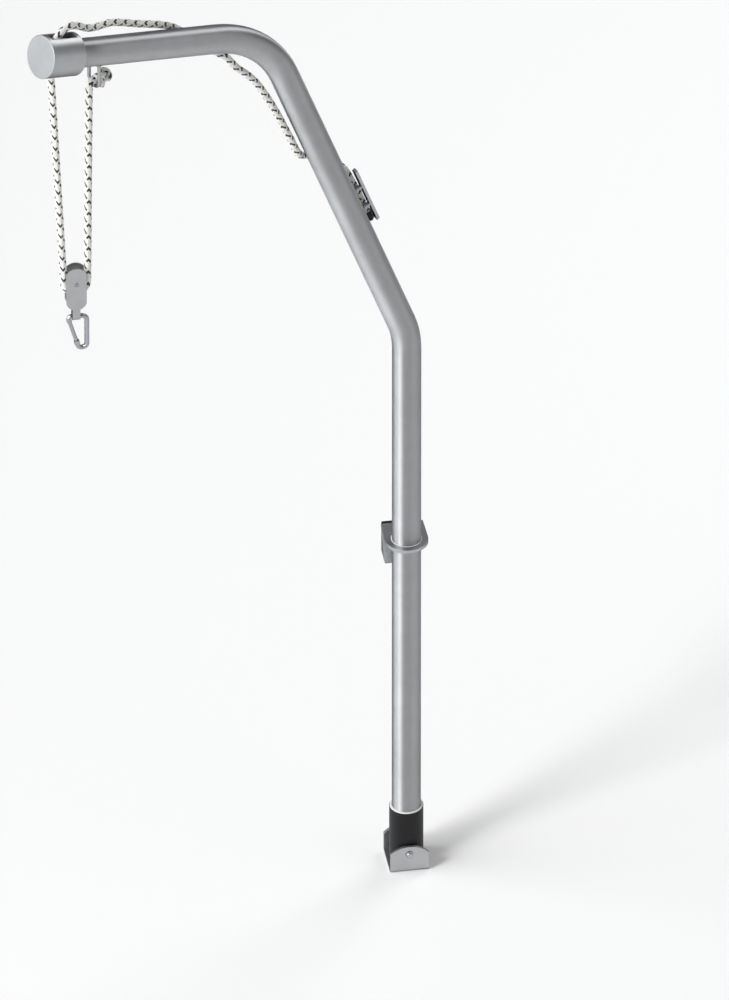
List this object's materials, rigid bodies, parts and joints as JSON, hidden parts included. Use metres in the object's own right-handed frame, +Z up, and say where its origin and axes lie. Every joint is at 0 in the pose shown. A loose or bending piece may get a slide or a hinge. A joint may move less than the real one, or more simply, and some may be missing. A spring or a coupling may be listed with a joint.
{
  "type": "davit crane",
  "caption": "Bent tube davit crane with a folding deck socket, a guard rail bracket, a cleat, and a rope and single block with a snap hook.",
  "frame": {"origin": "where the upright mast's axis meets the deck, at the middle of the deck screws, on the foot bracket's lower face", "axes": "+Z up along the mast, +X along the guard rail and the way that the socket folds, +Y from the deck toward the guard rail; the arm points 206.5 degrees round from +X"},
  "size_m": [0.7086, 0.4493, 1.9419],
  "materials": {
    "steel_tube": "satin",
    "steel_fittings": "satin",
    "steel_small": "gloss",
    "nylon_black": "satin",
    "nylon_white": "satin",
    "bronze_bush": "satin",
    "rope": "matte"
  },
  "bodies": {
    "deck_foot": {"foot_bracket": "steel_fittings", "hinge_pin": "steel_small", "pin_washer": "steel_small"},
    "socket": {"socket_body": "nylon_black", "socket_liner": "nylon_white", "pivot_sleeve": "steel_small"},
    "foot_bearing": {"thrust_disc": "nylon_white"},
    "mast": {"mast_tube": "steel_tube", "foot_plug": "nylon_black", "head_sleeve": "steel_fittings", "head_cap": "steel_fittings", "head_axle": "steel_small", "head_spacers": "steel_small", "head_screws": "steel_small", "rope_eye": "steel_small", "cleat": "steel_small", "cleat_screws": "steel_small", "rope_lead": "rope", "rope_knot": "rope"},
    "head_pulley": {"head_sheave": "nylon_white", "head_sheave_bush": "bronze_bush"},
    "falls": {"rope_fall_hauling": "rope", "rope_fall_standing": "rope"},
    "block": {"block_cheek_front": "steel_fittings", "block_cheek_rear": "steel_fittings", "block_strap": "steel_fittings", "block_axle": "steel_small", "rope_bight": "rope"},
    "block_pulley": {"block_sheave": "nylon_white", "block_sheave_bush": "bronze_bush"},
    "hook": {"hook_frame": "steel_small", "gate_pin": "steel_small"},
    "gate": {"hook_gate": "steel_small"},
    "rail_bracket": {"rail_plate": "steel_fittings", "rail_bush": "nylon_white", "clamp_front": "nylon_black", "clamp_rear": "nylon_black", "clamp_screws": "steel_small"}
  },
  "joints": [
    {"name": "socket_fold", "type": "hinge", "parent": "deck_foot", "child": "socket", "pos_m": [0, 0, 0.034], "axis": [0, 1, 0], "range_deg": [0, 90]},
    {"name": "mast_slew", "type": "hinge", "parent": "socket", "child": "foot_bearing", "pos_m": [0, 0, 0.048], "axis": [0, 0, 1], "continuous": true},
    {"name": "mast_lift", "type": "slide", "parent": "foot_bearing", "child": "mast", "axis": [0, 0, 1], "range_m": [0, 0.09]},
    {"name": "head_sheave_turn", "type": "hinge", "parent": "mast", "child": "head_pulley", "pos_m": [-0.61776, -0.308, 1.89669], "axis": [0.4462, -0.8949, 0], "continuous": true},
    {"name": "load_swing", "type": "hinge", "parent": "mast", "child": "falls", "pos_m": [-0.56918, -0.28378, 1.80569], "axis": [-0.701, -0.3495, 0.6216], "range_deg": [-20, 20]},
    {"name": "hoist", "type": "slide", "parent": "falls", "child": "block", "axis": [0, 0, 1], "range_m": [0, 0.2], "deforming": ["rope_fall_hauling", "rope_fall_standing"]},
    {"name": "block_sheave_turn", "type": "hinge", "parent": "block", "child": "block_pulley", "pos_m": [-0.59513, -0.29672, 1.434], "axis": [0, -1, 0], "continuous": true},
    {"name": "hook_swing", "type": "hinge", "parent": "block", "child": "hook", "pos_m": [-0.59513, -0.29672, 1.3665], "axis": [-1, 0, 0], "range_deg": [-60, 60]},
    {"name": "gate_open", "type": "hinge", "parent": "hook", "child": "gate", "pos_m": [-0.59363, -0.29672, 1.3145], "axis": [0, 1, 0], "range_deg": [0, 25], "stiffness_Nm_per_rad": 0.02, "springref_deg": -17.19},
    {"name": "rail_bracket_slide", "type": "slide", "parent": "socket", "child": "rail_bracket", "axis": [0, 0, 1], "range_m": [-0.15, 0.25]}
  ],
  "couplings": [
    {"joint": "head_sheave_turn", "follows": "hoist", "rad_per_m": -83.333},
    {"joint": "block_sheave_turn", "follows": "hoist", "rad_per_m": -51.282}
  ]
}
